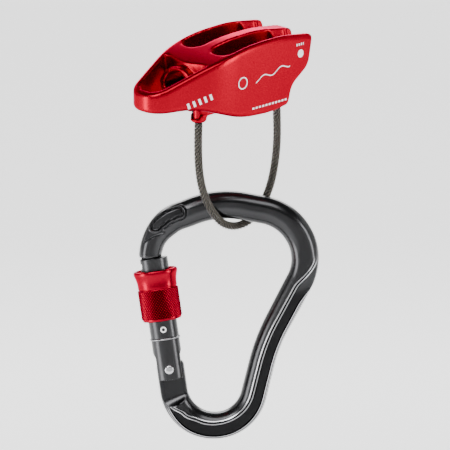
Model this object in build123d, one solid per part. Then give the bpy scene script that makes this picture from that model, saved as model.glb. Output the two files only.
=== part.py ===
from build123d import *
import math
import os

os.makedirs("parts", exist_ok=True)

# Rope descender: a forged twin-slot tube device on a wire keeper loop, with a
# pear-shaped screw-gate carabiner hanging in the loop.
# Row frame: origin at the centre of the block between the two rope slots, on the
# middle plane. +X runs from the nose to the stern, +Z is up. Millimetres.

# ---- descender body -------------------------------------------------------
HULL_HALF_WIDTH = 17.2
NOSE_X = -51.0
BOW_HALF_WIDTH = 8.0
BOW_RADIUS = 9.6
SHOULDER_X = -19.0
SHOULDER_RADIUS = 60.0
HULL_LENGTH_X = 36.0
SIDE_CORNERS = [
    (-58.0, -6.2, 0.0),
    (-32.0, -6.2, 40.0),
    (-9.0, -14.2, 50.0),
    (8.0, -15.2, 50.0),
    (18.4, -13.7, 2.5),
    (20.3, -5.8, 8.0),
    (30.2, 1.0, 8.0),
    (32.8, 14.2, 2.4),
    (14.0, 16.8, 70.0),
    (-6.0, 16.1, 80.0),
    (-24.0, 11.9, 110.0),
    (-58.0, -1.0, 0.0),
]
NOSE_WALL = 2.8
RIM_RADIUS = 2.0
OUTER_WALL = 2.6
MIDDLE_PLATE = 5.6
SLOT_FRONT_X = -17.0
SLOT_REAR_X = 23.0
SLOT_CORNER_RADIUS = 5.6
SLOT_WIDTH = HULL_HALF_WIDTH - OUTER_WALL - MIDDLE_PLATE / 2
SLOT_CENTRE_Y = (MIDDLE_PLATE + SLOT_WIDTH) / 2
CROSSBAR_FRONT_X = -25.5
CROSSBAR_BOW_RADIUS = 30.0
CROSSBAR_UNDER_Z = 4.0
NOTCH_FLOOR_Z = 0.5
NOTCH_FLOOR_WIDTH = 2.4
NOTCH_MOUTH_Z = 17.0
RIB_RADIUS = 0.8
RIB_X = (28.4, 31.0)

# ---- cable lug under the nose ----------------------------------------------
LUG_MOUTH_X = -31.5
LUG_MOUTH_HALF_WIDTH = 9.6
LUG_MOUTH_TOP_Z = 9.0
LUG_FOOT_RADIUS = 3.4
LUG_FOOT_Z = -17.0
LUG_SHELL_Z = -13.0
LUG_WINDOW_Z = -15.2
LUG_WINDOW_RADIUS = 2.5
LUG_WALL = 1.7
LUG_X = -18.5

# ---- keeper cable ------------------------------------------------------------
CORE_RADIUS = 1.45
JACKET_RADIUS = 2.0
JACKET_BORE_RADIUS = 1.55
CABLE_HOLE_RADIUS = 2.2
FERRULE_RADIUS = 2.6
FERRULE_LENGTH = 6.0
FRONT_FERRULE_RADIUS = 2.1
JACKET_SETBACK = 1.3
CABLE_ROUTE = [
    (-18.5, -17.6),
    (-19.3, -33.8),
    (-16.0, -50.0),
    (-8.0, -62.4),
    (-0.5, -67.6),
    (8.6, -68.6),
    (17.2, -64.8),
    (24.6, -54.3),
    (28.0, -38.0),
    (27.5, -20.0),
    (26.6, -4.4),
]
CORNER_SHARE = 0.45

# ---- carabiner ----------------------------------------------------------------
BAR_RADIUS = 5.9
BAR_SEAT = (3.2, 0.0, -58.7)
CARABINER_YAW = -44.3
CARABINER_SWING = 14.0
BAR_CORNERS = [
    (-35.2, -25.0),
    (-37.1, -10.2),
    (-7.9, 1.75),
    (21.6, -3.8),
    (32.3, -22.3),
    (13.3, -58.0),
    (4.2, -94.6),
    (-24.3, -93.1),
    (-28.1, -66.5),
]
BAR_CORNER_RADII = [19.0, 40.0, 21.0, 20.4, 80.0, 17.2, 17.2]
CHANNEL_DEPTH = 2.3
CHANNEL_START = 0.415
CHANNEL_FINISH = 0.885
CHANNEL_INNER = -0.2
CHANNEL_OUTER = 4.2

# ---- gate, in a frame on the rivet with y up the gate ---------------------------
GATE_LEAN = 8.3
RIVET_POINT = (-28.1, -69.5)
RIVET_RADIUS = 1.5
RIVET_HEAD_RADIUS = 1.9
RIVET_HEAD_HEIGHT = 0.45
GATE_RADIUS = 6.05
GATE_TOP = 47.6
GATE_TAIL = 4.4
EAR_HALF_WIDTH = 5.15
SHOULDER_LOW = 5.2
SHOULDER_HIGH = 7.6
TONGUE_HALF = 2.5
TONGUE_TOP = 3.1
TONGUE_SWEEP_RADIUS = 7.1
TONGUE_GAP = 0.15
TONGUE_ROOT = -10.5
PIVOT_PLAY = 0.06
NOSE_ARC = 48.3
HEAD_LOW = 44.0
HEAD_HIGH = 45.9
HEAD_HALF = 2.6
NECK_HALF = 1.6
KEY_GAP = 0.2
NOSE_OUTER = -5.2
NOSE_INNER = 2.6
SPRING_BORE = 2.2
SPRING_BORE_TOP = 27.0
PLUNGER_RADIUS = 2.0
PLUNGER_FOOT = 3.25
PLUNGER_HEAD = 10.0
SPRING_RADIUS = 2.0
SPRING_WIRE = 0.5
STOP_RING_HEIGHT = 13.1
STOP_RING_WIRE = 0.4
SLEEVE_FOOT = 21.0
SLEEVE_LENGTH = 21.6
SLEEVE_RADIUS = 8.6
SLEEVE_BORE = 6.15
LIP_RADIUS = 9.4
LIP_BORE = 7.9
LIP_DEPTH = 7.6
DRAG_RING_FOOT = 23.0
DRAG_RING_HEIGHT = 1.2
DRAG_RING_BORE = 6.1
DRAG_RING_RADIUS = 6.8
DRAG_RING_GAP = 0.05

BIG = 200.0


def write(shape, name):
    """Save one sub-part as a STEP file under its node name."""
    export_step(shape, "parts/" + name + ".step")


def block(low, high):
    """A box between two corners."""
    size = [b - a for a, b in zip(low, high)]
    centre = [(a + b) / 2 for a, b in zip(low, high)]
    return Pos(*centre) * Box(*size)


def plan_face(inset=0.0):
    """The hull's outline from above: parallel flanks that taper to a round bow."""
    front = NOSE_X + inset
    half = HULL_HALF_WIDTH - inset
    bow = BOW_HALF_WIDTH - inset * 0.75
    corners = [
        (HULL_LENGTH_X, half),
        (SHOULDER_X, half),
        (front, bow),
        (front, -bow),
        (SHOULDER_X, -half),
        (HULL_LENGTH_X, -half),
    ]
    radii = [SHOULDER_RADIUS, BOW_RADIUS - inset, BOW_RADIUS - inset, SHOULDER_RADIUS]
    rim = FilletPolyline(*corners, radius=radii)
    stern = Line((HULL_LENGTH_X, -half), (HULL_LENGTH_X, half))
    return make_face([rim, stern])


def side_face():
    """The hull's outline from the side: keeled belly, undercut stern, humped top, falling nose."""
    outline = FilletPolyline(*[(x, z) for x, z, _ in SIDE_CORNERS], radius=[r for _, _, r in SIDE_CORNERS[1:-1]])
    ahead = Line(SIDE_CORNERS[-1][:2], SIDE_CORNERS[0][:2])
    return Plane.XZ * make_face([outline, ahead])


def hull():
    """The solid hull: the plan carried up through the side outline, with its rims rounded."""
    plan = extrude(plan_face(), amount=40, both=True)
    side = extrude(side_face(), amount=30, both=True)
    solid = plan & side
    rims = []
    for edge in solid.edges():
        across = abs(edge.tangent_at(0.5).X) < 0.01
        if not (across and edge.geom_type == GeomType.LINE):
            rims.append(edge)
    return fillet(rims, RIM_RADIUS)


def rope_slot(side):
    """One rope slot: straight walls with a round front end, through the hull from top to bottom."""
    length = SLOT_REAR_X - SLOT_FRONT_X
    centre_x = (SLOT_REAR_X + SLOT_FRONT_X) / 2
    outline = RectangleRounded(length, SLOT_WIDTH, SLOT_CORNER_RADIUS)
    slot = extrude(outline, amount=40, both=True)
    return Pos(centre_x, side * SLOT_CENTRE_Y, 0) * slot


def rope_notch(side):
    """The wedge-shaped notch that carries a rope over the stern, with ribs across its walls."""
    floor = NOTCH_FLOOR_WIDTH / 2
    mouth = SLOT_WIDTH / 2
    slope = (mouth - floor) / (NOTCH_MOUTH_Z - NOTCH_FLOOR_Z)
    rise = 10.0
    points = [
        (-floor, NOTCH_FLOOR_Z),
        (floor, NOTCH_FLOOR_Z),
        (mouth, NOTCH_MOUTH_Z),
        (mouth, NOTCH_MOUTH_Z + rise),
        (-mouth, NOTCH_MOUTH_Z + rise),
        (-mouth, NOTCH_MOUTH_Z),
    ]
    face = Plane.YZ * make_face(Polyline(*points, close=True))
    notch = Pos(SLOT_REAR_X - 3.0, side * SLOT_CENTRE_Y, 0) * extrude(face, amount=30)
    lean = math.degrees(math.atan(slope))
    middle_z = (NOTCH_MOUTH_Z + NOTCH_FLOOR_Z) / 2 + 1.5
    reach = floor + slope * (middle_z - NOTCH_FLOOR_Z) + 0.35
    for x in RIB_X:
        for wall in (-1, 1):
            rib = Rot(-wall * lean, 0, 0) * Cylinder(RIB_RADIUS, 17)
            notch = notch - Pos(x, side * SLOT_CENTRE_Y + wall * reach, middle_z) * rib
    return notch


def nose_eye():
    """The eye through the nose, between the bow and the crossbar's hollow front edge."""
    eye = extrude(plan_face(NOSE_WALL), amount=40, both=True)
    ahead = block((-60, -30, -40), (CROSSBAR_FRONT_X, 30, 40))
    crossbar = Pos(CROSSBAR_FRONT_X - 1.5 + CROSSBAR_BOW_RADIUS, 0, 0) * Cylinder(CROSSBAR_BOW_RADIUS, 90)
    return (eye & ahead) - crossbar.intersect(block((-60, -30, -40), (0, 30, 40)))


def under_crossbar():
    """The hollow under the crossbar, between the side walls and the middle plate."""
    hollow = extrude(plan_face(NOSE_WALL), amount=40, both=True)
    band = block((-40, -30, -40), (SLOT_FRONT_X + 4, 30, CROSSBAR_UNDER_Z))
    plate = block((LUG_X, -MIDDLE_PLATE / 2, -50), (40, MIDDLE_PLATE / 2, 50))
    return (hollow & band) - plate


def lug_outline():
    """Side outline of the cable lug: wide mouth at the front, foot below, web back to the keel."""
    return [
        (LUG_MOUTH_X + 0.8, LUG_MOUTH_TOP_Z + 0.6),
        (-22.0, 11.0),
        (-14.0, 4.0),
        (-3.0, -13.6),
        (-9.0, -14.6),
        (LUG_X + 1.6, -14.6),
        (LUG_X + 1.0, LUG_SHELL_Z),
        (LUG_X - 2.4, LUG_SHELL_Z),
        (LUG_X - 4.4, -10.5),
        (-27.0, -6.0),
        (LUG_MOUTH_X - 0.6, -2.0),
    ]


def lug_front(half_width, top, foot_half_width, foot):
    """A slab with the lug's outline from the front: an arched mouth that narrows to the foot."""
    spring = 1.5
    crown = ThreePointArc((half_width, spring), (0, top), (-half_width, spring))
    rest = Polyline((-half_width, spring), (-foot_half_width, foot), (foot_half_width, foot), (half_width, spring))
    return extrude(Plane.YZ * make_face([crown, rest]), amount=80, both=True)


def lug():
    """The hollow tapered lug that takes the front end of the keeper cable."""
    side = extrude(Plane.XZ * make_face(Polyline(*lug_outline(), close=True)), amount=20, both=True)
    front = lug_front(LUG_MOUTH_HALF_WIDTH, LUG_MOUTH_TOP_Z, LUG_FOOT_RADIUS, LUG_SHELL_Z - 1)
    web_points = [(LUG_X + 2.2, -30), (LUG_X + 2.2, 30), (20, 30), (20, -30)]
    shell = side & front
    wide_web = extrude(Plane.XZ * make_face(Polyline(*web_points, close=True)), amount=30, both=True)
    web = (side & wide_web) & block((-60, -MIDDLE_PLATE / 2, -60), (60, MIDDLE_PLATE / 2, 60))
    foot_length = LUG_SHELL_Z + 4 - LUG_FOOT_Z
    foot = Pos(LUG_X, 0, LUG_FOOT_Z + foot_length / 2) * Rot(Z=40) * Cylinder(LUG_FOOT_RADIUS, foot_length)
    foot = chamfer(foot.edges().sort_by(Axis.Z)[0], 0.8)
    body = (shell - wide_web) + web + foot
    top_in = LUG_MOUTH_HALF_WIDTH - LUG_WALL - 1.0
    hollow_front = lug_front(top_in, LUG_MOUTH_TOP_Z - LUG_WALL, LUG_WINDOW_RADIUS, LUG_WINDOW_Z)
    hollow_side = [
        (-45, 20), (-45, -1.0), (LUG_MOUTH_X, -0.5), (-26.5, -4.5), (LUG_X - 3.0, -9.5),
        (LUG_X - 8.0, -9.5), (LUG_X - 8.0, LUG_WINDOW_Z), (LUG_X + 2.0, LUG_WINDOW_Z),
        (LUG_X + 2.3, -3.0), (-19.5, 6.0), (-22, 20),
    ]
    hollow = extrude(Plane.XZ * make_face(Polyline(*hollow_side, close=True)), amount=20, both=True) & hollow_front
    hole = Pos(LUG_X, 0, LUG_FOOT_Z) * Cylinder(CABLE_HOLE_RADIUS, 14)
    return body, hollow + hole


def cable_direction(first, second):
    """Unit vector in the XZ plane from one route point to the next."""
    step = Vector(second[0] - first[0], 0, second[1] - first[1])
    return step.normalized()


def rear_cable_bore():
    """The stepped bore in the stern's underside: cable below, swaged ferrule above."""
    inwards = cable_direction(CABLE_ROUTE[-2], CABLE_ROUTE[-1])
    plane = Plane(origin=(CABLE_ROUTE[-1][0], 0, CABLE_ROUTE[-1][1]), z_dir=inwards)
    hole = plane * (Pos(0, 0, 1.5) * Cylinder(CABLE_HOLE_RADIUS, 8))
    pocket = plane * (Pos(0, 0, 3.0 + FERRULE_LENGTH / 2) * Cylinder(FERRULE_RADIUS, FERRULE_LENGTH))
    return hole + pocket


def descender_body():
    """The whole forging."""
    lug_solid, lug_hollow = lug()
    body = hull()
    for side in (-1, 1):
        body = body - rope_slot(side)
        body = body - rope_notch(side)
        lug_solid = lug_solid - rope_slot(side)
    body = body - nose_eye()
    body = body - under_crossbar()
    body = body + lug_solid
    body = body - lug_hollow
    return body - rear_cable_bore()


def bend_radii(route):
    """The largest arc each corner has room for, from its shorter run and half its turn."""
    radii = []
    for before, corner, after in zip(route, route[1:], route[2:]):
        run_in = Vector(corner[0] - before[0], corner[1] - before[1])
        run_out = Vector(after[0] - corner[0], after[1] - corner[1])
        half_turn = math.radians(run_in.get_angle(run_out)) / 2
        radii.append(CORNER_SHARE * min(run_in.length, run_out.length) / math.tan(half_turn))
    return radii


def cable_path():
    """The keeper loop's centre line in the middle plane: straight runs and tangent arcs."""
    radii = bend_radii(CABLE_ROUTE)
    print("keeper cable bend radii", [round(r, 1) for r in radii])
    path = FilletPolyline(*[(x, 0, z) for x, z in CABLE_ROUTE], radius=radii)
    print("keeper cable free length", round(path.length, 1))
    return path


def tube(path, radius, bore=0.0):
    """A round rod, or a tube when it has a bore, along the path."""
    plane = Plane(origin=path @ 0, z_dir=path % 0)
    rod = sweep(plane * Circle(radius), path=path)
    if bore:
        rod = rod - sweep(plane * Circle(bore), path=path)
    return rod


def keeper_cable(path):
    """The wire rope's free loop, with round ends on the line it sways about."""
    rod = tube(path, CORE_RADIUS)
    for end in (0, 1):
        rod = rod + Pos(*(path @ end)) * Sphere(CORE_RADIUS)
    return rod


def cable_jacket(path):
    """The clear plastic tube over the rope, ending just short of both exits."""
    sleeve = tube(path, JACKET_RADIUS, JACKET_BORE_RADIUS)
    for end in (0, 1):
        sleeve = sleeve - Pos(*(path @ end)) * Sphere(JACKET_SETBACK + 1.2)
    return sleeve


def front_cable_end():
    """The rope's held end inside the lug, above the free loop."""
    low = CABLE_ROUTE[0][1] + CORE_RADIUS + 0.1
    length = 8.0
    return Pos(LUG_X, 0, low + length / 2) * Cylinder(CORE_RADIUS, length)


def rear_cable_end():
    """The rope's held end inside the stern."""
    inwards = cable_direction(CABLE_ROUTE[-2], CABLE_ROUTE[-1])
    plane = Plane(origin=(CABLE_ROUTE[-1][0], 0, CABLE_ROUTE[-1][1]), z_dir=inwards)
    low = CORE_RADIUS + 0.1
    high = 3.0 + FERRULE_LENGTH
    return plane * (Pos(0, 0, (low + high) / 2) * Cylinder(CORE_RADIUS, high - low))


def front_ferrule():
    """The swaged stop that keeps the rope from pulling down through the lug."""
    low = LUG_WINDOW_Z
    length = 5.0
    body = Pos(LUG_X, 0, low + length / 2) * Cylinder(FRONT_FERRULE_RADIUS, length)
    return body - front_cable_end()


def rear_ferrule():
    """The swaged stop in the stern's pocket."""
    inwards = cable_direction(CABLE_ROUTE[-2], CABLE_ROUTE[-1])
    plane = Plane(origin=(CABLE_ROUTE[-1][0], 0, CABLE_ROUTE[-1][1]), z_dir=inwards)
    body = plane * (Pos(0, 0, 3.0 + FERRULE_LENGTH / 2) * Cylinder(FERRULE_RADIUS, FERRULE_LENGTH))
    return body - rear_cable_end()


def carabiner_place():
    """From the carabiner's flat drawing (x across, y up, z out of it) to the row frame."""
    yaw = math.radians(CARABINER_YAW)
    swing = math.radians(CARABINER_SWING)
    across = Vector(math.cos(yaw), math.sin(yaw), 0)
    up = Vector(-math.sin(yaw) * math.sin(swing), math.cos(yaw) * math.sin(swing), math.cos(swing))
    plane = Plane(origin=BAR_SEAT, x_dir=across, z_dir=across.cross(up))
    return plane.location


def gate_place():
    """From the gate's own frame (y up the gate, x to the inside, z outwards) to the flat drawing."""
    return Location((RIVET_POINT[0], RIVET_POINT[1], 0), (0, 0, GATE_LEAN))


def upright(radius, low, high):
    """A cylinder up the gate's axis between two heights."""
    return Pos(0, (low + high) / 2, 0) * Rot(90, 0, 0) * Cylinder(radius, high - low)


def disc(radius, half):
    """A disc about the rivet, square to the carabiner's face."""
    return Cylinder(radius, 2 * half)


def bar_channel(path):
    """The stretch of the bar that has a channel, and the plane of the channel's section."""
    stretch = path.trim(CHANNEL_START, CHANNEL_FINISH)
    origin = stretch @ 0
    tangent = stretch % 0
    plane = Plane(origin=origin, x_dir=Vector(0, 0, 1).cross(tangent), z_dir=tangent)
    return stretch, plane


def bar_path():
    """The bar's centre line from the nose round to the hinge."""
    return FilletPolyline(*BAR_CORNERS, radius=BAR_CORNER_RADII)


def bar():
    """The round bar with an I-beam channel in both faces of its spine and foot."""
    path = bar_path()
    start_plane = Plane(origin=path @ 0, z_dir=path % 0)
    rod = sweep(start_plane * Circle(BAR_RADIUS), path=path)
    stretch, plane = bar_channel(path)
    section = Pos((CHANNEL_INNER + CHANNEL_OUTER) / 2, 0) * Rectangle(CHANNEL_OUTER - CHANNEL_INNER, 6.0)
    sign = 1 if plane.y_dir.Z > 0 else -1
    for face in (-1, 1):
        offset = face * sign * (BAR_RADIUS - CHANNEL_DEPTH + 3.0)
        groove = sweep(plane * (Pos(0, offset) * section), path=stretch)
        rod = rod - groove
    return rod


def nose_key(gap):
    """The T-shaped key under the nose; with a gap, the slot in the gate that it sits in."""
    head = disc(HEAD_HIGH + gap, HEAD_HALF + gap) - disc(HEAD_LOW - gap, 9)
    neck = disc(NOSE_ARC + 2, NECK_HALF + gap) - disc(HEAD_LOW - gap, 9)
    key = head + neck
    outer = NOSE_OUTER - (6 if gap else 0)
    return key & block((outer, 30, -9), (NOSE_INNER + 2 * gap, 60, 9))


def carabiner_body():
    """The forged bar with its nose key and the hinge tongue."""
    to_flat = gate_place()
    body = to_flat.inverse() * bar()
    gate_room = disc(NOSE_ARC, 9) & block((-14, 10, -9), (14, 60, 9))
    body = body - gate_room + nose_key(0.0)
    for low, high in ((TONGUE_HALF, 9), (-9, -TONGUE_HALF)):
        body = body - block((-14, TONGUE_ROOT, low), (14, 12, high))
    body = body - block((-14, TONGUE_TOP, -9), (14, 12, 9)) - disc(RIVET_RADIUS + PIVOT_PLAY, 9)
    return carabiner_place() * (to_flat * body)


def gate_shape():
    """The gate in its own frame: hollow barrel, keyed top, stepped hinge ears."""
    barrel = upright(GATE_RADIUS, -GATE_TAIL, GATE_TOP)
    for side in (-1, 1):
        flank = [
            (side * EAR_HALF_WIDTH, -20),
            (side * EAR_HALF_WIDTH, SHOULDER_LOW),
            (side * (GATE_RADIUS + 0.1), SHOULDER_HIGH),
            (side * 12, SHOULDER_HIGH),
            (side * 12, -20),
        ]
        barrel = barrel - extrude(make_face(Polyline(*flank, close=True)), amount=20, both=True)
    tongue_room = disc(TONGUE_SWEEP_RADIUS, TONGUE_HALF + TONGUE_GAP)
    lower_room = block((-20, -20, -TONGUE_HALF - TONGUE_GAP), (20, 0, TONGUE_HALF + TONGUE_GAP))
    barrel = barrel - tongue_room - lower_room - nose_key(KEY_GAP)
    barrel = barrel - upright(SPRING_BORE, 2.0, SPRING_BORE_TOP) - disc(RIVET_RADIUS, 9)
    ring = Pos(0, STOP_RING_HEIGHT, 0) * Rot(90, 0, 0) * Torus(GATE_RADIUS + 0.1, STOP_RING_WIRE)
    return barrel - ring - gate_rivet()


def gate_rivet():
    """The hinge rivet, with a low head on each ear."""
    reach = GATE_RADIUS
    shank = Cylinder(RIVET_RADIUS, 2 * reach)
    low = (Align.CENTER, Align.CENTER, Align.MIN)
    head = Cylinder(RIVET_HEAD_RADIUS, RIVET_HEAD_HEIGHT + 0.3, align=low)
    head = Pos(0, 0, reach - 0.3) * head
    return shank + head + mirror(head, about=Plane.XY)


def stop_ring():
    """The wire ring in a groove that stops the sleeve on its way down."""
    return Pos(0, STOP_RING_HEIGHT, 0) * Rot(90, 0, 0) * Torus(GATE_RADIUS + 0.1, STOP_RING_WIRE)


def gate_plunger():
    """The pin that presses on the tongue and shuts the gate."""
    return upright(PLUNGER_RADIUS, PLUNGER_FOOT, PLUNGER_HEAD)


def gate_spring():
    """The closing spring above the plunger."""
    low = PLUNGER_HEAD + 0.1
    high = SPRING_BORE_TOP - 0.1
    return upright(SPRING_RADIUS, low, high) - upright(SPRING_RADIUS - SPRING_WIRE, low - 1, high + 1)


def screw_sleeve():
    """The locking sleeve: knurled grip below, smooth flared lip above."""
    top = SLEEVE_FOOT + SLEEVE_LENGTH
    waist = top - 8.6
    profile = [
        (SLEEVE_BORE, SLEEVE_FOOT),
        (SLEEVE_RADIUS - 0.9, SLEEVE_FOOT),
        (SLEEVE_RADIUS, SLEEVE_FOOT + 0.9),
        (SLEEVE_RADIUS, waist),
        (SLEEVE_RADIUS - 0.1, waist + 0.3),
        (LIP_RADIUS - 0.1, top - 2.8),
        (LIP_RADIUS, top - 1.6),
        (LIP_RADIUS - 0.6, top),
        (LIP_BORE, top),
        (LIP_BORE, top - LIP_DEPTH),
        (SLEEVE_BORE, top - LIP_DEPTH - 1.2),
    ]
    body = revolve(make_face(Polyline(*profile, close=True)), axis=Axis.Y)
    low = DRAG_RING_FOOT - DRAG_RING_GAP
    high = DRAG_RING_FOOT + DRAG_RING_HEIGHT + DRAG_RING_GAP
    return body - upright(DRAG_RING_RADIUS + DRAG_RING_GAP, low, high)


def drag_ring():
    """The ring inside the sleeve that rubs on the barrel and follows it up and down."""
    low = DRAG_RING_FOOT
    high = low + DRAG_RING_HEIGHT
    return upright(DRAG_RING_RADIUS, low, high) - upright(DRAG_RING_BORE, low - 1, high + 1)


def on_gate(shape):
    """Put a shape drawn in the gate's frame into the row frame."""
    return carabiner_place() * (gate_place() * shape)


def build():
    """Make and write every sub-part."""
    path = cable_path()
    write(descender_body(), "descender_body")
    write(front_cable_end(), "front_cable_end")
    write(rear_cable_end(), "rear_cable_end")
    write(front_ferrule(), "front_ferrule")
    write(rear_ferrule(), "rear_ferrule")
    write(keeper_cable(path), "keeper_cable")
    write(cable_jacket(path), "cable_jacket")
    write(carabiner_body(), "carabiner_body")
    write(on_gate(gate_shape()), "gate")
    write(on_gate(gate_rivet()), "gate_rivet")
    write(on_gate(stop_ring()), "stop_ring")
    write(on_gate(gate_plunger()), "gate_plunger")
    write(on_gate(gate_spring()), "gate_spring")
    write(on_gate(screw_sleeve()), "screw_sleeve")
    write(on_gate(drag_ring()), "drag_ring")


build()
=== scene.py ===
"""A tube-style rope descender with its keeper cable and screw-gate carabiner."""
import math

import bpy
from mathutils import Matrix, Vector


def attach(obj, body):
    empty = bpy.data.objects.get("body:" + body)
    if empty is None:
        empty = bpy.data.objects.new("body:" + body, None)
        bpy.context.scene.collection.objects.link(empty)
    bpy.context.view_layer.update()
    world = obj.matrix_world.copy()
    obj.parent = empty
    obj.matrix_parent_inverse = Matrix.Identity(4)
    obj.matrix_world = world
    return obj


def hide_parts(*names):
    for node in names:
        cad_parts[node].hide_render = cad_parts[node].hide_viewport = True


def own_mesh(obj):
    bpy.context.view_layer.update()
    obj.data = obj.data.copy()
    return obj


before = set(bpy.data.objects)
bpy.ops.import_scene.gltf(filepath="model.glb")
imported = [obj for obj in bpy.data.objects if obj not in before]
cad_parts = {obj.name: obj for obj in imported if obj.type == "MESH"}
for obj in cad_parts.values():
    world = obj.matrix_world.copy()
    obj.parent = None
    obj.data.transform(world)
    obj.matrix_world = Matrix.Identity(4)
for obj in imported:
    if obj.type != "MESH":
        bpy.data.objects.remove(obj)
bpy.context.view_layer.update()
MM = 0.001

# ---- the frames the pieces are drawn in -------------------------------------
# The carabiner is drawn flat, in mm: x across, y up and out towards the viewer, from the seat of
# the bar in the cable's loop. The gate has its own frame in that drawing, from its rivet.
SEAT = Vector((3.2, 0.0, -58.7))
ACROSS = Vector((0.715693, -0.698415, 0.0))
RISE = Vector((0.16896, 0.17314, 0.97030))
FACE = ACROSS.cross(RISE)
RIVET = (-28.1, -69.5)
GATE_LEAN = math.radians(8.3)


def on_carabiner(x, y, out):
    """From the carabiner's flat drawing, in mm, to the row frame in metres."""
    return (SEAT + ACROSS * x + RISE * y + FACE * out) * MM


def on_gate(inward, up, out):
    """From the gate's own frame, in mm from the rivet, to the row frame in metres."""
    x = RIVET[0] + inward * math.cos(GATE_LEAN) - up * math.sin(GATE_LEAN)
    y = RIVET[1] + inward * math.sin(GATE_LEAN) + up * math.cos(GATE_LEAN)
    return on_carabiner(x, y, out)


# ---- modelling helpers -------------------------------------------------------
SKIN_WELD = 1e-7
CAD_WELD = 1e-6


def deselect():
    """Leave edit mode and select nothing."""
    if bpy.context.object and bpy.context.object.mode != "OBJECT":
        bpy.ops.object.mode_set(mode="OBJECT")
    bpy.ops.object.select_all(action="DESELECT")


def pick(piece):
    """Select one piece alone and make it active."""
    deselect()
    piece.select_set(True)
    bpy.context.view_layer.objects.active = piece


def smooth_by(piece, degrees):
    """Shade smooth, with edges sharper than the angle left hard."""
    pick(piece)
    bpy.ops.object.shade_smooth_by_angle(angle=math.radians(degrees))


def skin(name, across, along, place, degrees=35, shade_and_highlight=None, lid=True):
    """A tube of skin through the points place(i, j), closed round and, with a lid, at its ends.

    Each point's optional mark, given by a function of (i, j), is painted shade where positive
    and a painted highlight where negative, for the materials.
    """
    deselect()
    bpy.ops.mesh.primitive_grid_add(x_subdivisions=across, y_subdivisions=along, size=MM)
    piece = bpy.context.object
    piece.name = piece.data.name = name
    flat = []
    for j in range(along + 1):
        row = [place(i, j) for i in range(across)]
        for point in row + row[:1]:
            flat.extend(point)
    piece.data.vertices.foreach_set("co", flat)
    piece.location = (0, 0, 0)
    if shade_and_highlight:
        marks = piece.data.attributes.new("shade_and_highlight", "FLOAT", "POINT")
        marks.data.foreach_set(
            "value", [shade_and_highlight(i % across, j) for j in range(along + 1) for i in range(across + 1)]
        )
    bpy.ops.object.mode_set(mode="EDIT")
    bpy.ops.mesh.select_all(action="SELECT")
    bpy.ops.mesh.remove_doubles(threshold=SKIN_WELD)
    bpy.ops.mesh.select_all(action="DESELECT")
    if lid:
        bpy.ops.mesh.select_non_manifold()
        bpy.ops.mesh.edge_face_add()
    bpy.ops.mesh.select_all(action="SELECT")
    bpy.ops.mesh.normals_make_consistent(inside=False)
    bpy.ops.object.mode_set(mode="OBJECT")
    smooth_by(piece, degrees)
    return piece


def forged_copy(node, name, voxel, rounds, degrees=40):
    """A copy of a machined node with its edges softened as tumbling does."""
    pick(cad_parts[node])
    bpy.ops.object.duplicate()
    piece = bpy.context.object
    piece.name = piece.data.name = name
    bpy.ops.object.mode_set(mode="EDIT")
    bpy.ops.mesh.select_all(action="SELECT")
    bpy.ops.mesh.remove_doubles(threshold=CAD_WELD)
    bpy.ops.object.mode_set(mode="OBJECT")
    remesh = piece.modifiers.new("remesh", "REMESH")
    remesh.mode = "VOXEL"
    remesh.voxel_size = voxel * MM
    smooth = piece.modifiers.new("soften", "SMOOTH")
    smooth.factor = 0.5
    smooth.iterations = rounds
    bpy.ops.object.modifier_apply(modifier="remesh")
    bpy.ops.object.modifier_apply(modifier="soften")
    smooth_by(piece, degrees)
    return piece


def ease(value, low, high):
    """0 below low, 1 above high, and smooth between."""
    t = min(1.0, max(0.0, (value - low) / (high - low)))
    return t * t * (3 - 2 * t)


def table_value(table, s):
    """A smooth reading of a table of (s, value) rows."""
    if s <= table[0][0]:
        return table[0][1]
    for (s0, v0), (s1, v1) in zip(table, table[1:]):
        if s <= s1:
            return v0 + (v1 - v0) * ease(s, s0, s1)
    return table[-1][1]


# ---- shader helpers ------------------------------------------------------------
class Signal:
    """A shader socket that takes part in sums."""

    def __init__(self, paint, socket):
        self.paint = paint
        self.socket = socket

    def math(self, operation, *others):
        return self.paint.node("ShaderNodeMath", {"operation": operation}, self, *others)

    def __add__(self, other):
        return self.math("ADD", other)

    def __sub__(self, other):
        return self.math("SUBTRACT", other)

    def __mul__(self, other):
        return self.math("MULTIPLY", other)

    def __truediv__(self, other):
        return self.math("DIVIDE", other)

    def __radd__(self, other):
        return self.math("ADD", other)

    def __rmul__(self, other):
        return self.math("MULTIPLY", other)

    def __rsub__(self, other):
        return self.paint.node("ShaderNodeMath", {"operation": "SUBTRACT"}, other, self)

    def below(self, limit):
        return self.math("LESS_THAN", limit)

    def above(self, limit):
        return self.math("GREATER_THAN", limit)

    def size(self):
        return self.math("ABSOLUTE")

    def either(self, other):
        return self.math("MAXIMUM", other)

    def part(self):
        return self.math("FRACT")

    def root(self):
        return self.math("SQRT")

    def sine(self):
        return self.math("SINE")


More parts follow.
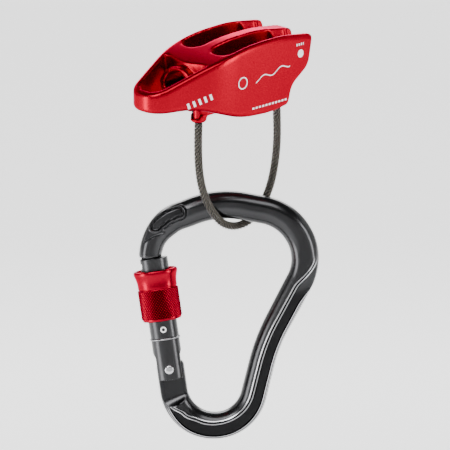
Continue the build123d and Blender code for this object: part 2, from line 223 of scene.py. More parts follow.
class Paint:
    """One material, built node by node."""

    def __init__(self, name, **constants):
        self.material = bpy.data.materials.new(name)
        self.material.use_nodes = True
        self.tree = self.material.node_tree
        self.shader = self.tree.nodes["Principled BSDF"]
        for key, value in constants.items():
            self.shader.inputs[key.replace("_", " ")].default_value = value
        coordinates = self.tree.nodes.new("ShaderNodeTexCoord")
        self.place = Signal(self, coordinates.outputs["Object"])

    def node(self, kind, settings, *values, out=0, **named):
        """A node of a kind, with its settings and its sockets' values or links."""
        made = self.tree.nodes.new(kind)
        for key, value in settings.items():
            setattr(made, key, value)
        pairs = list(zip(made.inputs, values))
        pairs += [(made.inputs[key.replace("_", " ")], value) for key, value in named.items()]
        for socket, value in pairs:
            self.feed(socket, value)
        return Signal(self, made.outputs[out])

    def feed(self, socket, value):
        if isinstance(value, Signal):
            self.tree.links.new(value.socket, socket)
        else:
            socket.default_value = value

    def drive(self, name, value):
        """Feed one of the surface's own sockets."""
        self.feed(self.shader.inputs[name], value)

    def axes(self):
        """The place on the object along each axis, in mm."""
        split = self.tree.nodes.new("ShaderNodeSeparateXYZ")
        self.feed(split.inputs[0], self.place)
        return [Signal(self, split.outputs[k]) / MM for k in range(3)]

    def noise(self, scale, detail=2.0, stretch=None):
        where = self.place
        if stretch:
            where = self.node("ShaderNodeMapping", {}, self.place, Scale=stretch)
        return self.node("ShaderNodeTexNoise", {}, Vector=where, Scale=scale, Detail=detail)

    def distance_along(self, start, end):
        """How far the surface lies from start towards end, in mm."""
        offset = self.node(
            "ShaderNodeVectorMath", {"operation": "SUBTRACT"}, self.place, tuple(start)
        )
        way = tuple((end - start).normalized() / MM)
        return self.node("ShaderNodeVectorMath", {"operation": "DOT_PRODUCT"}, offset, way, out=1)

    def shade_and_highlight(self):
        """The skin's marks: painted shade where positive, a painted highlight where negative."""
        return self.node("ShaderNodeAttribute", {"attribute_name": "shade_and_highlight"}, out=2)

    def mix(self, share, first, second):
        """A colour between two: the first at share 0, the second at share 1."""
        made = self.tree.nodes.new("ShaderNodeMix")
        made.data_type = "RGBA"
        self.feed(made.inputs[0], share)
        self.feed(made.inputs[6], first)
        self.feed(made.inputs[7], second)
        return Signal(self, made.outputs[2])

    def bump(self, height, strength, distance):
        normal = self.node(
            "ShaderNodeBump", {}, Strength=strength, Distance=distance, Height=height
        )
        self.drive("Normal", normal)

    def put_on(self, *pieces):
        for piece in pieces:
            piece.data.materials.clear()
            piece.data.materials.append(self.material)


def dress(paint, *nodes):
    """Give CAD nodes a finish through their objects' own slots."""
    for name in nodes:
        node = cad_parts[name]
        if not node.material_slots:
            node.data.materials.append(None)
        for slot in node.material_slots:
            slot.link = "OBJECT"
            slot.material = paint.material


def near(value, middle, reach):
    """1 where a signal is within reach of middle, and 0 elsewhere."""
    return (value - middle).size().below(reach)


def stripes(value, pitch, share):
    """Stripes across a signal, each a share of the pitch wide."""
    return (value / pitch).part().below(share)


def distance(x, z, centre):
    """How far the surface is from a centre, in the plane of two axes."""
    aside = x - centre[0]
    above = z - centre[1]
    return (aside * aside + above * above).root()


WHITE_INK = (0.86, 0.86, 0.86, 1.0)
RED_SHEEN = (1.0, 0.38, 0.50, 1.0)
GRAIN_HIGH = 0.00003
RING_AT = (-9.5, 1.4)
DOT_AT = (24.5, 7.3)
NEAR_PLATE = -8.0


def plate_marks(paint):
    """The plain shapes on the near plate: slanted bars, a wave, a ring, a dot, dashes and ticks."""
    x, y, z = paint.axes()
    bars = stripes(x + z * 0.35, pitch=2.7, share=0.42)
    bars = bars * near(z - x * 0.24, middle=4.6, reach=1.35) * near(x, middle=-31.0, reach=6.4)
    wave = near(z - x * 0.16 - (x * 0.62).sine() * 0.9, middle=1.2, reach=0.22)
    wave = wave * near(x, middle=8.0, reach=10.0)
    ring = near(distance(x, z, RING_AT), middle=2.4, reach=0.24)
    dot = distance(x, z, DOT_AT).below(1.7)
    dashes = stripes(x, pitch=1.9, share=0.62) * near(z, middle=-10.9, reach=0.42)
    dashes = dashes * near(x, middle=6.5, reach=10.5)
    ticks = stripes(x, pitch=1.3, share=0.5) * near(z, middle=11.3, reach=0.5)
    ticks = ticks * near(x, middle=24.0, reach=2.4)
    ink = bars.either(wave).either(ring).either(dot).either(dashes).either(ticks)
    return ink * y.below(NEAR_PLATE)


def anodised_red():
    """Satin red anodising with plain white laser marks on the near plate."""
    paint = Paint("anodised_red", Metallic=1.0, Specular_Tint=RED_SHEEN)
    grain = paint.noise(2600.0, 3.0)
    cloud = paint.noise(45.0, 2.0)
    red = paint.mix(cloud, (0.250, 0.0004, 0.0095, 1.0), (0.320, 0.0008, 0.0130, 1.0))
    ink = plate_marks(paint)
    paint.drive("Base Color", paint.mix(ink, red, WHITE_INK))
    paint.drive("Metallic", 1.0 - ink)
    paint.drive("Roughness", 0.25 + grain * 0.06 + ink * 0.3)
    paint.bump(grain, 0.04, GRAIN_HIGH)
    return paint


def sleeve_red():
    """The same anodising on the sleeve, with painted shade between the knurl's points."""
    paint = Paint("sleeve_red", Metallic=1.0, Specular_Tint=RED_SHEEN)
    grain = paint.noise(1800.0, 2.0)
    red = paint.mix(grain, (0.23, 0.0006, 0.012, 1.0), (0.29, 0.001, 0.016, 1.0))
    # Painted shade, nearly black, low between the knurl's points.
    paint.drive("Base Color", paint.mix(paint.shade_and_highlight(), red, (0.018, 0.0, 0.0008, 1.0)))
    paint.drive("Roughness", 0.20 + grain * 0.10)
    paint.bump(grain, 0.06, GRAIN_HIGH)
    return paint


BLUE_CAST = 1.04
SHADED = (0.012, 0.012, 0.013, 1.0)
PAINTED_HIGHLIGHT = (0.60, 0.60, 0.62, 1.0)
LOCK_RING_UP = 17.3
LOCK_RING_RADIUS = 1.0


def lock_ring(paint):
    """A plain white ring on the barrel's front, below the sleeve."""
    centre = on_gate(0, LOCK_RING_UP, 0)
    inward = paint.distance_along(centre, on_gate(1, LOCK_RING_UP, 0))
    up = paint.distance_along(centre, on_gate(0, LOCK_RING_UP + 1, 0))
    out = paint.distance_along(centre, on_gate(0, LOCK_RING_UP, 1))
    return near(distance(inward, up, (0.0, 0.0)), LOCK_RING_RADIUS, reach=0.3) * out.above(2.0)


def grey_metal(
    name, dark, light, rough, stretch=None, scale=2200.0, metallic=1.0, edges=False, lock_mark=False
):
    """A grey metal with a fine even grain and faint cloudiness.

    With edges, grooves get painted shade and ridges a painted highlight, as the skin marks them.
    """
    paint = Paint(name, Metallic=metallic)
    grain = paint.noise(scale, 3.0, stretch)
    cloud = paint.noise(60.0, 2.0)
    shades = [(grey, grey, grey * BLUE_CAST, 1.0) for grey in (dark, light)]
    colour = paint.mix(cloud, *shades)
    highlight_share = 0.0
    if edges:
        # Painted shade in the grooves and a painted highlight on the ridges, from the skin's marks.
        mark = paint.shade_and_highlight()
        highlight_share = (0.0 - mark).either(0.0)
        colour = paint.mix(mark.either(0.0), colour, SHADED)
        colour = paint.mix(highlight_share, colour, PAINTED_HIGHLIGHT)
    if lock_mark:
        ring = lock_ring(paint)
        colour = paint.mix(ring, colour, WHITE_INK)
        paint.drive("Metallic", 1.0 - ring)
    paint.drive("Base Color", colour)
    paint.drive("Roughness", rough + grain * 0.05 + highlight_share * -0.04)
    paint.bump(grain, 0.02, GRAIN_HIGH)
    return paint


def rope_wire():
    """Dull steel wires, with painted shade between the strands."""
    paint = Paint("rope_wire", Metallic=0.85)
    fine = paint.noise(900.0, 3.0)
    steel = paint.mix(fine, (0.045, 0.039, 0.030, 1.0), (0.095, 0.084, 0.066, 1.0))
    # Painted shade on the sides of the strands that face each other.
    paint.drive("Base Color", paint.mix(paint.shade_and_highlight(), steel, (0.006, 0.005, 0.004, 1.0)))
    paint.drive("Roughness", 0.36 + fine * 0.2)
    paint.bump(fine, 0.12, 0.00005)
    return paint


def clear_jacket():
    """The thin smoky plastic over the rope."""
    paint = Paint(
        "clear_jacket", Roughness=0.22, Alpha=0.10, Coat_Weight=0.6, Coat_Roughness=0.08
    )
    haze = paint.noise(500.0, 2.0)
    paint.drive(
        "Base Color", paint.mix(haze, (0.09, 0.09, 0.09, 1.0), (0.15, 0.15, 0.15, 1.0))
    )
    return paint


RED = anodised_red()
SLEEVE_RED = sleeve_red()
FORGING = grey_metal("grey_forging", 0.038, 0.048, 0.20, edges=True)
BARREL = grey_metal("grey_barrel", 0.042, 0.056, 0.26, (1.0, 1.0, 14.0), 700.0, lock_mark=True)
STEEL = grey_metal("bright_steel", 0.50, 0.62, 0.16)
SPRING = grey_metal("spring_steel", 0.22, 0.30, 0.24)
SWAGED = grey_metal("swaged_metal", 0.30, 0.38, 0.30)
NYLON = grey_metal("black_nylon", 0.015, 0.022, 0.45, metallic=0.0)
WIRE = rope_wire()
JACKET = clear_jacket()


# ---- descender -------------------------------------------------------------------
PLATE_CROWN = 0.030
PLATE_FACE = 15.6
PLATE_OUTSIDE = 16.8
PLATE_FRONT = -24.0
PLATE_FULL = -8.0
PLATE_MIDDLE = (3.0, 1.0)
PLATE_REACH = (34.0, 16.0)


def descender():
    """The forging, its edges softened and its two outer plates slightly crowned."""
    piece = forged_copy("descender_body", "descender_forging", voxel=0.42, rounds=7)
    for vertex in piece.data.vertices:
        x, y, z = (part / MM for part in vertex.co)
        if abs(y) > PLATE_FACE and x > PLATE_FRONT:
            aside = (x - PLATE_MIDDLE[0]) / PLATE_REACH[0]
            above = (z - PLATE_MIDDLE[1]) / PLATE_REACH[1]
            shown = ease(x, PLATE_FRONT, PLATE_FULL) * ease(abs(y), PLATE_FACE, PLATE_OUTSIDE)
            vertex.co.y *= 1 - PLATE_CROWN * (aside ** 2 + above ** 2) * shown
    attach(piece, "descender")
    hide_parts("descender_body")
    RED.put_on(piece)


# ---- carabiner bar ----------------------------------------------------------------
# The line down the middle of the bar, nose to hinge, is straight between its corners and round at
# them. Along it s is the way in mm from the nose, u is inwards and out is towards the viewer.
BAR_CORNERS = [
    (-35.2, -25.0), (-37.1, -10.2), (-7.9, 1.75), (21.6, -3.8), (32.3, -22.3),
    (13.3, -58.0), (4.2, -94.6), (-24.3, -93.1), (-28.1, -66.5),
]
BAR_CORNER_RADII = [19.0, 40.0, 21.0, 20.4, 80.0, 17.2, 17.2]
STATION_STEP = 0.16


def turned(direction, angle):
    """A flat direction turned anticlockwise."""
    return Vector((
        direction.x * math.cos(angle) - direction.y * math.sin(angle),
        direction.x * math.sin(angle) + direction.y * math.cos(angle),
    ))


def straight(start, end):
    """A straight stretch of the line: its length, and its point and heading at a share of it."""
    heading = (end - start).normalized()

    def at(share):
        return start.lerp(end, share), heading

    return (end - start).length, at


def bend(start, heading, radius, angle):
    """A round stretch of the line, in the same terms; a positive angle turns left."""
    side = math.copysign(1.0, angle)
    centre = start + Vector((-heading.y, heading.x)) * side * radius

    def at(share):
        direction = turned(heading, angle * share)
        return centre - Vector((-direction.y, direction.x)) * side * radius, direction

    return radius * abs(angle), at


def bar_line():
    """Stations (s, point, inward direction) along the bar, in the flat drawing."""
    corners = [Vector(corner) for corner in BAR_CORNERS]
    stretches = []
    here = corners[0]
    for k, radius in enumerate(BAR_CORNER_RADII, start=1):
        before = (corners[k] - corners[k - 1]).normalized()
        after = (corners[k + 1] - corners[k]).normalized()
        angle = before.angle_signed(after)
        cut = radius * math.tan(abs(angle) / 2)
        stretches.append(straight(here, corners[k] - before * cut))
        stretches.append(bend(corners[k] - before * cut, before, radius, -angle))
        here = corners[k] + after * cut
    stretches.append(straight(here, corners[-1]))
    stations = []
    total = 0.0
    for length, at in stretches:
        count = max(1, round(length / STATION_STEP))
        for k in range(count):
            point, heading = at(k / count)
            stations.append((total + length * k / count, point, Vector((heading.y, -heading.x))))
        total += length
    point, heading = stretches[-1][1](1.0)
    stations.append((total, point, Vector((heading.y, -heading.x))))
    return stations


STATIONS = bar_line()
BAR_END = STATIONS[-1][0]
NOSE_START = 2.75
SHOULDER_END = 34.0
COARSE = 3

# Tables of (s, value): half the bar's width and depth, how far it is set inwards, all in mm, and
# the power of its outer side's curve, which is square-shouldered where it is over 2.
HALF_WIDTH = [
    (3, 4.8), (8, 5.0), (20, 5.9), (32, 5.95), (84, 5.95), (100, 5.8), (130, 5.5), (170, 5.6),
    (190, 5.9),
]
HALF_DEPTH = [(3, 5.3), (15, 5.6), (35, 5.9)]
SHIFT = [(3, -0.85), (8, -0.75), (20, -0.4), (30, 0.0)]
OUTER_POWER = [(95, 2.0), (108, 3.3), (184, 3.3), (197, 2.0)]
INNER_POWER = 2

# The channel down the spine: how far it is sunk, where its two walls run, and the ridges beside
# them, as (distance from the wall, lift, mark). A mark is painted shade if positive and a
# painted highlight if negative.
CHANNEL_START = 87.0
CHANNEL_END = 196.6
SUNK = [(CHANNEL_START - 0.5, 0), (CHANNEL_START + 1, 1), (CHANNEL_END - 3, 1), (CHANNEL_END, 0)]
RIDGES_SHOWN = [(CHANNEL_START + 2, 0.0), (CHANNEL_START + 9, 1.0)]
SCOOPED = [(CHANNEL_START + 10, 1.0), (CHANNEL_START + 21, 0.0)]
SCOOP_RISE = 0.25
SCOOP_SLOPE = 0.42
SCOOP_MIDDLE = -3.0
INNER_WALL = [
    (CHANNEL_START, -6.3), (104, -0.2), (150, 0.0), (172, 0.8), (184, 0.5), (191, -0.9),
    (CHANNEL_END, -3.4),
]
OUTER_WALL = [(97, -6.0), (110, -4.1), (150, -4.0), (185, -4.4), (CHANNEL_END, -3.9)]
FLOOR = 3.55
FLOOR_MARGIN = 0.45
FLOOR_SHADE = 0.55
RIDGES_IN = [
    (1.75, 0.0, 0.0), (1.60, 0.14, -0.9), (1.22, 0.14, -0.9), (1.05, -0.34, 0.6),
    (0.62, -0.36, 0.8), (0.46, 0.06, -0.9), (0.04, 0.02, -0.9), (-0.12, -0.4, 0.5),
]
RIDGES_OUT = [
    (0.12, -0.4, 0.5), (-0.05, 0.04, -0.8), (-0.34, 0.04, -0.8), (-0.44, -0.2, 0.9),
    (-0.66, -0.2, 0.9), (-0.76, 0.02, -0.8), (-1.02, 0.02, -0.8), (-1.14, -0.1, 0.0),
]
WALL_LEAST = 0.5
ROUND_IN = 15
ROUND_OUT = 7
FLOOR_COLUMNS = 7

# Where there is no channel, the columns crowd on the face that the shoulder's pocket is in: they
# pass these angles round the bar, in degrees from the inside, at these shares of the columns.
CROWDED = [(58, 1.0), (CHANNEL_START - 1, 0.0)]
CROWDED_SHARES = (0.15, 0.87)
CROWDED_ANGLES = (62, 158)


def crowded_angle(share):
    """The angle round the bar of a column, closest together on the face that the pocket is in."""
    low, high = CROWDED_SHARES
    start, finish = CROWDED_ANGLES
    if share < low:
        return math.radians(start * share / low)
    if share < high:
        return math.radians(start + (finish - start) * (share - low) / (high - low))
    return math.radians(finish + (180 - finish) * (share - high) / (1 - high))


def crowded(points, wide, deep, share):
    """A plain round section with its columns moved a share of the way to their crowded places."""
    last = len(points) - 1
    moved = []
    for k, (u, _, _) in enumerate(points):
        angle = math.acos(max(-1.0, min(1.0, u / wide)))
        angle += (crowded_angle(k / last) - angle) * share
        moved.append((wide * math.cos(angle), deep * math.sin(angle), 0.0))
    return moved


def half_section(s):
    """The bar's front half at s: points (u, out, mark) from the inner to the outer side."""
    wide = table_value(HALF_WIDTH, s)
    deep = table_value(HALF_DEPTH, s)
    wall_in = max(table_value(INNER_WALL, s), -wide + WALL_LEAST)
    wall_out = min(table_value(OUTER_WALL, s), wall_in)
    sunk = table_value(SUNK, s)
    lines = sunk * table_value(RIDGES_SHOWN, s)
    scoop = table_value(SCOOPED, s)
    outer_power = table_value(OUTER_POWER, s)

    def dome(u):
        power = outer_power if u < 0 else INNER_POWER
        return deep * max(0.0, 1 - abs(u / wide) ** power) ** (1 / power)

    def lowered(surface, floor, share):
        return surface + (min(surface, floor) - surface) * share

    points = []
    first = min(wide * 0.98, wall_in + RIDGES_IN[0][0])
    top = math.acos(first / wide)
    for k in range(ROUND_IN):
        angle = top * k / ROUND_IN
        points.append((wide * math.cos(angle), deep * math.sin(angle), 0.0))
    for ahead, lift, mark in RIDGES_IN:
        u = wall_in + ahead
        points.append((u, dome(u) + lift * lines, mark * lines))
    left = wall_in - FLOOR_MARGIN
    right = min(max(wall_out + FLOOR_MARGIN, -wide), left)
    for k in range(FLOOR_COLUMNS):
        u = max(left + (right - left) * k / (FLOOR_COLUMNS - 1), -wide)
        floor = FLOOR + (SCOOP_RISE + SCOOP_SLOPE * (u - SCOOP_MIDDLE)) * scoop
        points.append((u, lowered(dome(u), floor, sunk), FLOOR_SHADE * sunk * (1 - scoop)))
    shown = lines if wall_out > -wide + 0.6 else 0.0
    walled = ease(wall_out, -wide, -wide + 1.2)
    for ahead, lift, mark in RIDGES_OUT:
        u = max(wall_out + ahead, -wide)
        surface = lowered(dome(u), FLOOR, sunk * (1 - walled))
        points.append((u, max(0.0, surface + lift * shown), mark * shown))
    bottom = math.acos(max(-1.0, points[-1][0] / wide))
    for k in range(1, ROUND_OUT):
        u = wide * math.cos(bottom + (math.pi - bottom) * k / ROUND_OUT)
        points.append((u, min(points[-1][1], dome(u)), 0.0))
    points.append((-wide, 0.0, 0.0))
    share = table_value(CROWDED, s)
    return crowded(points, wide, deep, share) if share > 0 else points


TONGUE_HALF = 2.5
TONGUE_ROOT = BAR_END - 13.5
TONGUE_SWEEP = 5.5
UNLIMITED = 9.0


def tongue_limit(s):
    """How far out of the middle plane the bar reaches near the hinge."""
    if s >= TONGUE_ROOT:
        return TONGUE_HALF
    back = TONGUE_ROOT - s
    if back >= TONGUE_SWEEP:
        return UNLIMITED
    return TONGUE_HALF + TONGUE_SWEEP - math.sqrt(TONGUE_SWEEP ** 2 - back ** 2)


POCKET_LOW = 15.7
POCKET_HIGH = 25.5
POCKET_RADIUS = 2.35
POCKET_DEPTH = 0.95
POCKET_MIDDLE = -2.9
POCKET_SLANT = 0.075
RIM_HIGH = 0.26
PAD_HIGH = 0.40
FLAT_HEIGHT = 4.5
FLAT_SLOPE = 0.27
FACET_START = 6.5
FACET_TIP = (7.9, -3.7)
FACET_SLOPES = (0.80, 0.16)
FACET_END = (15.5, 17.5)


def pocket_height(s, u, out):
    """The slanted flat on the nose shoulder, with its slot-shaped pocket, rim and raised pad."""
    nearest = min(POCKET_HIGH, max(POCKET_LOW, s))
    middle = POCKET_MIDDLE + POCKET_SLANT * (nearest - 13)
    edge = math.hypot(s - nearest, u - middle) - POCKET_RADIUS
    flat = FLAT_HEIGHT + FLAT_SLOPE * u
    reach = 1 - ease(edge, 0.95, 1.35)
    tip_s, tip_u = FACET_TIP
    above = tip_u + (s - tip_s) * FACET_SLOPES[0] - u
    below = u - tip_u + (s - tip_s) * FACET_SLOPES[1]
    tail = ease(min(above, below), -0.15, 0.15) * (1 - ease(s, *FACET_END))
    level = out + (min(out, flat) - out) * max(reach, tail)
    level += RIM_HIGH * ease(edge, -0.05, 0.25) * (1 - ease(edge, 0.5, 0.8))
    level -= POCKET_DEPTH * (1 - ease(edge, -0.5, -0.05))
    level += PAD_HIGH * (1 - ease(edge, -1.1, -0.8))
    return level


def end_trim(s):
    """How much the section shrinks close to the nose and close to the hinge, for rounded ends."""
    nose = 0.93 + 0.07 * math.sqrt(min(1.0, (s - NOSE_START) / 0.9))
    hinge = 0.80 + 0.20 * math.sqrt(max(0.0, min(1.0, (BAR_END - s) / 1.6)))
    return min(1.0, nose, hinge)


def carabiner_bar():
    """The forged bar, lofted through its sections, with fine stations only on the nose shoulder."""
    stations = [
        station for k, station in enumerate(STATIONS)
        if station[0] >= NOSE_START and (station[0] < SHOULDER_END or k % COARSE == 0)
    ]
    if stations[-1] is not STATIONS[-1]:
        stations.append(STATIONS[-1])
    rows = []
    marks = []
    for s, point, inward in stations:
        half = half_section(s)
        limit = tongue_limit(s)
        shift = table_value(SHIFT, s)
        trim = end_trim(s)
        ring = []
        for u, out, _ in half:
            front = pocket_height(s, u, out) if FACET_START < s < SHOULDER_END else out
            ring.append((u * trim + shift, min(front, limit) * trim))
        back = [(u * trim + shift, -min(out, limit) * trim) for u, out, _ in half[1:-1]]
        ring += reversed(back)
        # Each point's mark: painted shade in the grooves and a painted highlight on the ridges.
        painted_marks = [mark for _, _, mark in half]
        marks.append(painted_marks + painted_marks[-2:0:-1])
        rows.append([
            on_carabiner(point.x + inward.x * u, point.y + inward.y * u, out) for u, out in ring
        ])

    def place(i, j):
        return rows[j][i]

    def shade_and_highlight(i, j):
        return marks[j][i]

    return skin("carabiner_bar", len(rows[0]), len(rows) - 1, place, degrees=55, shade_and_highlight=shade_and_highlight)


def gate_box(name, low, high, bevel):
    """A small bevelled block in the gate's frame."""
    deselect()
    bpy.ops.mesh.primitive_cube_add(size=1)
    piece = bpy.context.object
    piece.name = piece.data.name = name
    for vertex in piece.data.vertices:
        corner = [low[k] if vertex.co[k] < 0 else high[k] for k in range(3)]
        vertex.co = on_gate(*corner)
    cut = piece.modifiers.new("edge", "BEVEL")
    cut.width = bevel * MM
    cut.segments = 3
    bpy.ops.object.modifier_apply(modifier="edge")
    bpy.ops.object.mode_set(mode="EDIT")
    bpy.ops.mesh.select_all(action="SELECT")
    bpy.ops.mesh.normals_make_consistent(inside=False)
    bpy.ops.object.mode_set(mode="OBJECT")
    return piece


def carabiner():
    """The bar, with the T-shaped key on its nose that the gate's fork closes round."""
    bar = carabiner_bar()
    neck = gate_box("key_neck", (-5.0, 44.6, -1.6), (2.4, 49.6, 1.6), 0.2)
    head = gate_box("key_head", (-5.0, 43.0, -2.6), (2.4, 45.1, 2.6), 0.35)
    deselect()
    for part in (neck, head, bar):
        part.select_set(True)
    bpy.context.view_layer.objects.active = bar
    bpy.ops.object.join()
    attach(bar, "carabiner")
    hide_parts("carabiner_body")
    FORGING.put_on(bar)


# ---- gate ----------------------------------------------------------------------------
def gate():
    """The barrel, its edges softened."""
    piece = forged_copy("gate", "gate_barrel", voxel=0.22, rounds=3, degrees=30)
    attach(piece, "gate_arm")
    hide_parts("gate")
    BARREL.put_on(piece)


RIVET_AROUND = 40
RIVET_HALF = [
    (0.0, 6.62), (0.7, 6.60), (1.2, 6.52), (1.6, 6.36), (1.85, 6.15), (1.9, 5.95), (1.85, 5.80),
    (1.5, 5.7),
]


def hinge_rivet():
    """The rivet: a shank with a low domed head on each ear, from (radius, out) points."""
    profile = RIVET_HALF + [(radius, -out) for radius, out in reversed(RIVET_HALF)]

    def place(i, j):
        radius, out = profile[j]
        turn = 2 * math.pi * i / RIVET_AROUND
        return on_gate(radius * math.cos(turn), radius * math.sin(turn), out)

    piece = skin("hinge_rivet", RIVET_AROUND, len(profile) - 1, place, degrees=50)
    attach(piece, "gate_arm")
    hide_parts("gate_rivet")
    STEEL.put_on(piece)


SPRING_LOW = 10.2
SPRING_HIGH = 26.8
SPRING_COILS = 11.0
SPRING_WIRE = 0.24
SPRING_MIDDLE = 1.7
ENDS_CLOSED = 0.035


def closing_spring():
    """The coil behind the plunger, with its ends closed down."""
    around = 10
    along = 420

    def place(i, j):
        share = j / along
        turn = 2 * math.pi * SPRING_COILS * share
        squeezed = share - ENDS_CLOSED * math.sin(2 * math.pi * share)
        height = SPRING_LOW + SPRING_WIRE + (SPRING_HIGH - SPRING_LOW - 2 * SPRING_WIRE) * squeezed
        angle = 2 * math.pi * i / around
        radius = SPRING_MIDDLE + SPRING_WIRE * math.cos(angle)
        up = height + SPRING_WIRE * math.sin(angle)
        return on_gate(radius * math.cos(turn), up, radius * math.sin(turn))

    piece = skin("closing_spring", around, along, place, degrees=60)
    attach(piece, "gate_arm")
    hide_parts("gate_spring")
    axis = tuple((on_gate(0, 1, 0) - on_gate(0, 0, 0)).normalized())
    tuple(on_gate(0, SPRING_HIGH, 0))
    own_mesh(piece)
    SPRING.put_on(piece)


# The sleeve's outline is (radius, height) points on the gate: up the outside and down the bore.
KNURL_LOW = 22.2
KNURL_HIGH = 34.3
KNURL_DEPTH = 0.42
KNURL_RADIUS = 8.24
KNURL_INSIDE = 8.0
KNURL_STEPS = 8
DIAMONDS_ROUND = 46
DIAMOND_HIGH = 1.4
SLEEVE_FOOT = [
    (6.15, 21.6), (6.15, 21.2), (6.4, 21.0), (7.5, 21.0), (7.9, 21.08), (8.18, 21.3), (8.3, 21.7),
    (8.3, 22.1),
]
SLEEVE_LIP = [
    (8.22, 34.5), (8.12, 34.65), (8.12, 34.85), (8.3, 35.0), (8.36, 35.2), (8.36, 36.2),
    (8.44, 37.4), (8.62, 38.6), (8.9, 39.7), (9.16, 40.5), (9.34, 41.1), (9.40, 41.6), (9.34, 42.1),
    (9.12, 42.45), (8.8, 42.6),
]
SLEEVE_BORE = [
    (8.3, 42.6), (8.0, 42.5), (7.9, 42.2), (7.9, 35.2), (7.7, 35.0), (6.4, 34.0), (6.15, 33.8),
    (6.15, 28.0),
]


def knurl(turn, height):
    """How far the diamond points stand up at a place on the grip."""
    around = DIAMONDS_ROUND * turn / (2 * math.pi)
    climb = height / DIAMOND_HIGH
    rise = []
    for t in (around + climb, around - climb):
        share = t - math.floor(t)
        rise.append(1 - abs(2 * share - 1))
    return min(1.0, 1.5 * min(rise)) * KNURL_DEPTH


def locking_sleeve():
    """The knurled grip with its smooth flared lip."""
    around = DIAMONDS_ROUND * KNURL_STEPS
    rows = round((KNURL_HIGH - KNURL_LOW) / DIAMOND_HIGH * KNURL_STEPS)
    grip = [
        (KNURL_RADIUS, KNURL_LOW + (KNURL_HIGH - KNURL_LOW) * k / rows) for k in range(rows + 1)
    ]
    outline = SLEEVE_FOOT + grip + SLEEVE_LIP + SLEEVE_BORE
    count = len(outline)

    def raised(i, radius, height):
        if KNURL_LOW <= height <= KNURL_HIGH and radius > KNURL_INSIDE:
            return knurl(2 * math.pi * i / around, height - KNURL_LOW)
        return None

    def place(i, j):
        radius, height = outline[j % count]
        turn = 2 * math.pi * i / around
        radius += raised(i, radius, height) or 0.0
        return on_gate(radius * math.cos(turn), height, radius * math.sin(turn))

    # Painted shade where the knurl is low.
    def shade_and_highlight(i, j):
        points_up = raised(i, *outline[j % count])
        return 0.0 if points_up is None else 1 - ease(points_up / KNURL_DEPTH, 0.15, 0.6)

    piece = skin("locking_sleeve", around, count, place, degrees=24, shade_and_highlight=shade_and_highlight)
    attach(piece, "sleeve")
    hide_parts("screw_sleeve")
    SLEEVE_RED.put_on(piece)


# ---- keeper cable ----------------------------------------------------------------------
# The middle line of the cable in mm, as (x, z) with y = 0, from its front exit to its rear one.
CABLE_ROUTE = [
    (-18.5, -17.6), (-19.3, -33.8), (-16.0, -50.0), (-8.0, -62.4), (-0.5, -67.6), (8.6, -68.6),
    (17.2, -64.8), (24.6, -54.3), (28.0, -38.0), (27.5, -20.0), (26.6, -4.4),
]
JACKET_RADIUS = 2.0
CABLE_RINGS = 330
STRANDS = 6
STRAND_SIDES = 10
STRAND_RADIUS = 0.60
STRAND_CIRCLE = 1.12
STRAND_LAY = 10.5


def cable_cover():
    """The jacket, a bevelled curve on the route, and the points along its middle line."""
    curve = bpy.data.curves.new("cable_cover", "CURVE")
    curve.dimensions = "3D"
    spline = curve.splines.new("NURBS")
    spline.points.add(len(CABLE_ROUTE) - 1)
    for point, (x, z) in zip(spline.points, CABLE_ROUTE):
        point.co = (x * MM, 0.0, z * MM, 1.0)
    spline.order_u = 3
    spline.use_endpoint_u = True
    curve.resolution_u = 24
    cover = bpy.data.objects.new("cable_cover", curve)
    bpy.context.collection.objects.link(cover)
    bpy.context.view_layer.update()
    shown = cover.evaluated_get(bpy.context.evaluated_depsgraph_get())
    dots = [vertex.co.copy() for vertex in bpy.data.meshes.new_from_object(shown).vertices]
    curve.bevel_depth = JACKET_RADIUS * MM
    curve.bevel_resolution = 6
    curve.use_fill_caps = True
    JACKET.put_on(cover)
    return cover, dots


def cable_frames(dots):
    """Even places along the middle line: (way in mm, centre, and two directions across)."""
    lengths = [0.0]
    for a, b in zip(dots, dots[1:]):
        lengths.append(lengths[-1] + (b - a).length)
    total = lengths[-1]
    glance = 0.4 * MM

    def on_line(distance):
        k = 0
        while k < len(lengths) - 2 and lengths[k + 1] < distance:
            k += 1
        share = (distance - lengths[k]) / (lengths[k + 1] - lengths[k])
        return dots[k].lerp(dots[k + 1], share)

    frames = []
    for j in range(CABLE_RINGS + 1):
        way = total * j / CABLE_RINGS
        ahead = on_line(min(total, way + glance))
        behind = on_line(max(0.0, way - glance))
        side = Vector((0, 1, 0))
        frames.append((way / MM, on_line(way), side.cross((ahead - behind).normalized()), side))
    return frames


def strand(number, frames):
    """One strand of the wire rope, laid round the middle line."""
    def place(i, j):
        way, centre, u, v = frames[j]
        turn = 2 * math.pi * (way / STRAND_LAY + number / STRANDS)
        angle = 2 * math.pi * i / STRAND_SIDES
        radial = u * math.cos(turn) + v * math.sin(turn)
        tangent = v * math.cos(turn) - u * math.sin(turn)
        reach = STRAND_CIRCLE + STRAND_RADIUS * math.cos(angle)
        return centre + (radial * reach + tangent * STRAND_RADIUS * math.sin(angle)) * MM

    # Painted shade on the inner half of each strand, towards the core and its neighbours.
    def shade_and_highlight(i, _):
        return ease(-math.cos(2 * math.pi * i / STRAND_SIDES), -0.85, -0.1)

    return skin(f"strand_{number}", STRAND_SIDES, CABLE_RINGS, place, degrees=60, shade_and_highlight=shade_and_highlight)


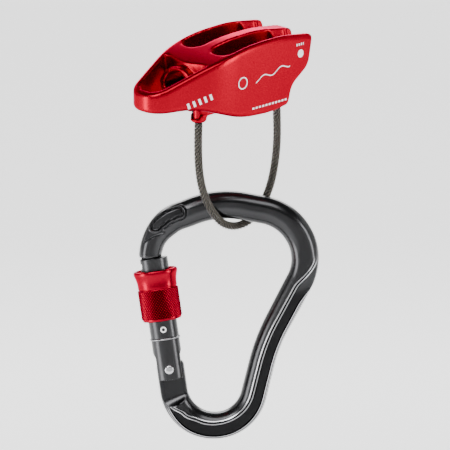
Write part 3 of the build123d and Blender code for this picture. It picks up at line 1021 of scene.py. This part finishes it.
def keeper():
    """The keeper loop: six strands of wire under a clear jacket."""
    cover, dots = cable_cover()
    frames = cable_frames(dots)
    strands = [strand(number, frames) for number in range(STRANDS)]
    deselect()
    for piece in strands:
        piece.select_set(True)
    bpy.context.view_layer.objects.active = strands[0]
    bpy.ops.object.join()
    wires = bpy.context.object
    wires.name = wires.data.name = "cable_strands"
    WIRE.put_on(wires)
    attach(wires, "keeper")
    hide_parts("keeper_cable")
    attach(cover, "keeper")
    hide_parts("cable_jacket")


# ---- studio, in metres -----------------------------------------------------------------
LOOK = Vector((0.660, 0.677, -0.3256)).normalized()
TARGET = Vector((-9.5, -6.5, -62.9)) * MM
CAMERA_AWAY = 1.4
LENS = 266.7
LAMP_POWER = 0.8
FLOOR_Z = -0.42
FLOOR_REACH = 7.0
FLOOR_FLAT = 3.0
FLOOR_AROUND = 64
FLOOR_RINGS = 40
WALL_BEND = 1.2


def pale_floor():
    """Paper that glows more away from the object, so the background is light and the shade dark."""
    paint = Paint("pale_floor", Roughness=0.9, Emission_Strength=1.55)
    x, y, z = paint.axes()
    away = (x * x + y * y).root() * MM
    smooth = {"interpolation_type": "SMOOTHSTEP"}
    glow = paint.node("ShaderNodeMapRange", smooth, away, 0.20, 0.78, 0.0, 1.0)
    wall = paint.node("ShaderNodeMapRange", smooth, z, -419.0, -250.0, 0.0, 1.0)
    shine = paint.mix(glow, (0.22, 0.22, 0.22, 1.0), (1.0, 1.0, 1.0, 1.0))
    paint.drive("Emission Color", paint.mix(wall, shine, (0.12, 0.12, 0.12, 1.0)))
    mottle = paint.noise(3.0, 1.0)
    paint.drive("Base Color", paint.mix(mottle, (0.90, 0.90, 0.90, 1.0), (0.93, 0.93, 0.93, 1.0)))
    return paint


def backdrop():
    """A round paper floor that bends up into a wall on every side."""
    bend_length = WALL_BEND * math.pi / 2

    def place(i, j):
        turn = 2 * math.pi * i / FLOOR_AROUND
        reach = FLOOR_REACH * (j / FLOOR_RINGS) ** 1.5
        if reach < FLOOR_FLAT:
            away, rise = reach, 0.0
        elif reach < FLOOR_FLAT + bend_length:
            angle = (reach - FLOOR_FLAT) / WALL_BEND
            away = FLOOR_FLAT + WALL_BEND * math.sin(angle)
            rise = WALL_BEND * (1 - math.cos(angle))
        else:
            away, rise = FLOOR_FLAT + WALL_BEND, WALL_BEND + reach - FLOOR_FLAT - bend_length
        return Vector((away * math.cos(turn), away * math.sin(turn), FLOOR_Z + rise))

    sweep = skin("studio_floor", FLOOR_AROUND, FLOOR_RINGS, place, degrees=60, lid=False)
    pale_floor().put_on(sweep)


def aimed(place, direction):
    """A matrix at a place, looking in a direction."""
    return Matrix.Translation(place) @ direction.to_track_quat("-Z", "Y").to_matrix().to_4x4()


def camera_and_air():
    """The camera that sees what the photo shows, and a faint even light."""
    lens = bpy.data.cameras.new("camera")
    lens.lens = LENS
    lens.sensor_width = 36.0
    lens.clip_start = 0.05
    camera = bpy.data.objects.new("camera", lens)
    bpy.context.collection.objects.link(camera)
    camera.matrix_world = aimed(TARGET - LOOK * CAMERA_AWAY, LOOK)
    bpy.context.scene.camera = camera

    world = bpy.data.worlds.new("studio_air")
    bpy.context.scene.world = world
    world.use_nodes = True
    background = world.node_tree.nodes["Background"]
    background.inputs["Color"].default_value = (0.9, 0.92, 0.95, 1)
    background.inputs["Strength"].default_value = 0.15


def soft_boxes():
    """Five area lights round the object, placed from the camera's side."""
    up = Vector((0, 0, 1))
    right = LOOK.cross(up).normalized()
    boxes = [
        ("key_light", -right * 0.55 - LOOK * 0.55 + up * 0.75, (0.55, 0.35), 9.0),
        ("top_light", up * 0.85 - LOOK * 0.30, (0.9, 0.4), 8.0),
        ("right_light", right * 0.85 - LOOK * 0.25 + up * 0.15, (0.16, 0.7), 6.0),
        ("left_light", -right * 0.8 - LOOK * 0.3 - up * 0.15, (0.30, 0.8), 8.0),
        ("back_light", LOOK * 0.8 + up * 0.55, (0.8, 0.25), 6.0),
    ]
    for name, offset, size, power in boxes:
        light = bpy.data.lights.new(name, "AREA")
        light.shape = "RECTANGLE"
        light.size, light.size_y = size
        light.energy = power * LAMP_POWER
        lamp = bpy.data.objects.new(name, light)
        bpy.context.collection.objects.link(lamp)
        lamp.matrix_world = aimed(TARGET + offset, -offset)


backdrop()
camera_and_air()
soft_boxes()
keeper()
descender()
carabiner()
gate()
hinge_rivet()
closing_spring()
locking_sleeve()
dress(WIRE, "front_cable_end", "rear_cable_end")
dress(RED, "front_ferrule")
dress(SWAGED, "rear_ferrule")
dress(STEEL, "gate_plunger")
dress(SPRING, "stop_ring")
dress(NYLON, "drag_ring")
deselect()
